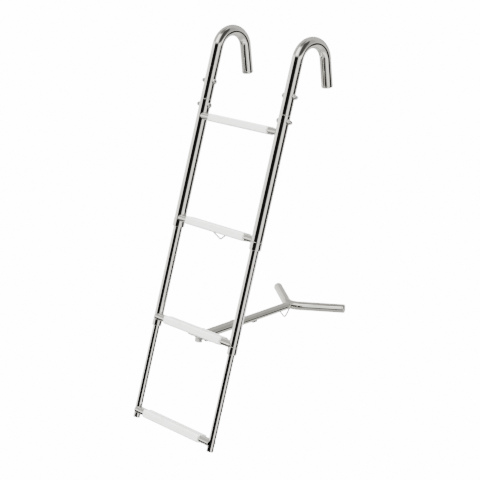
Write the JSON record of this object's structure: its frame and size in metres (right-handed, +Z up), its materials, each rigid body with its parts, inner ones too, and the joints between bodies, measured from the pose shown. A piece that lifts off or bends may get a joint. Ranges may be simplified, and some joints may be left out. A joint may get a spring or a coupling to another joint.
{
  "type": "boat boarding ladder",
  "caption": "Telescoping stainless boarding ladder that hangs on a gunwale by tubular hooks, with moulded treads and a folding, extending stand-off arm whose fork bears on the hull.",
  "frame": {"origin": "where the underside of the hooks rests on the gunwale, midway between the hooks", "axes": "+Z up along the rails, +X along the rungs, +Y from the ladder towards the boat"},
  "size_m": [0.3734, 0.4553, 1.1277],
  "materials": {
    "polished_steel": "mirror-polished stainless steel tube",
    "arm_steel": "polished stainless steel tube, slightly duller than the rails",
    "bolt_steel": "bright machined stainless steel",
    "tread_plastic": "white moulded plastic, ribbed for grip",
    "bush_plastic": "black moulded nylon",
    "spring_steel": "spring steel strip"
  },
  "bodies": {
    "upper_frame": {"hook_tube_left": "polished_steel", "hook_tip_cap_left": "polished_steel", "hook_coupler_left": "bolt_steel", "hook_bolt_left_upper": "bolt_steel", "hook_bolt_left_lower": "bolt_steel", "hook_nut_left_upper": "bolt_steel", "hook_nut_left_lower": "bolt_steel", "upper_rail_left": "polished_steel", "upper_collar_left": "polished_steel", "upper_guide_bush_left": "bush_plastic", "hook_tube_right": "polished_steel", "hook_tip_cap_right": "polished_steel", "hook_coupler_right": "bolt_steel", "hook_bolt_right_upper": "bolt_steel", "hook_bolt_right_lower": "bolt_steel", "hook_nut_right_upper": "bolt_steel", "hook_nut_right_lower": "bolt_steel", "upper_rail_right": "polished_steel", "upper_collar_right": "polished_steel", "upper_guide_bush_right": "bush_plastic", "rung_1_tube": "polished_steel", "rung_1_tread": "tread_plastic", "rung_2_tube": "polished_steel", "rung_2_tread": "tread_plastic", "rung_eye": "bolt_steel"},
    "middle_section": {"middle_rail_left": "polished_steel", "middle_top_slide_left": "bush_plastic", "middle_collar_left": "polished_steel", "middle_guide_bush_left": "bush_plastic", "bracket_screw_left": "bolt_steel", "middle_rail_right": "polished_steel", "middle_top_slide_right": "bush_plastic", "middle_collar_right": "polished_steel", "middle_guide_bush_right": "bush_plastic", "bracket_screw_right": "bolt_steel", "rung_3_tube": "polished_steel", "rung_3_tread": "tread_plastic", "arm_bracket": "arm_steel", "arm_stop_pin": "bolt_steel", "arm_pivot_bolt": "bolt_steel", "arm_pivot_nut": "bolt_steel"},
    "lower_section": {"lower_rail_left": "polished_steel", "lower_top_slide_left": "bush_plastic", "foot_plug_left": "bush_plastic", "lower_rail_right": "polished_steel", "lower_top_slide_right": "bush_plastic", "foot_plug_right": "bush_plastic", "rung_4_tube": "polished_steel", "rung_4_tread": "tread_plastic"},
    "standoff_arm": {"arm_sleeve": "arm_steel", "arm_sleeve_collar": "arm_steel"},
    "arm_extension": {"arm_inner_tube": "arm_steel", "fork_tube": "arm_steel", "fork_tip_cap_left": "arm_steel", "fork_tip_cap_right": "arm_steel", "button_spring": "spring_steel", "arm_eye": "bolt_steel"},
    "lock_button": {"arm_lock_button": "bolt_steel"}
  },
  "joints": [
    {"name": "middle_slide", "type": "slide", "parent": "upper_frame", "child": "middle_section", "axis": [0, 0, 1], "range_m": [0, 0.24]},
    {"name": "lower_slide", "type": "slide", "parent": "middle_section", "child": "lower_section", "axis": [0, 0, 1], "range_m": [0, 0.222]},
    {"name": "arm_fold", "type": "hinge", "parent": "middle_section", "child": "standoff_arm", "pos_m": [0, -0.017, -0.81493], "axis": [1, 0, 0], "range_deg": [0, 70]},
    {"name": "arm_extend", "type": "slide", "parent": "standoff_arm", "child": "arm_extension", "axis": [0, 0.9466, 0.3223], "range_m": [-0.05, 0.03]},
    {"name": "button_press", "type": "slide", "parent": "arm_extension", "child": "lock_button", "axis": [0, -0.3223, 0.9466], "range_m": [0, 0.004], "stiffness_N_per_m": 400}
  ]
}
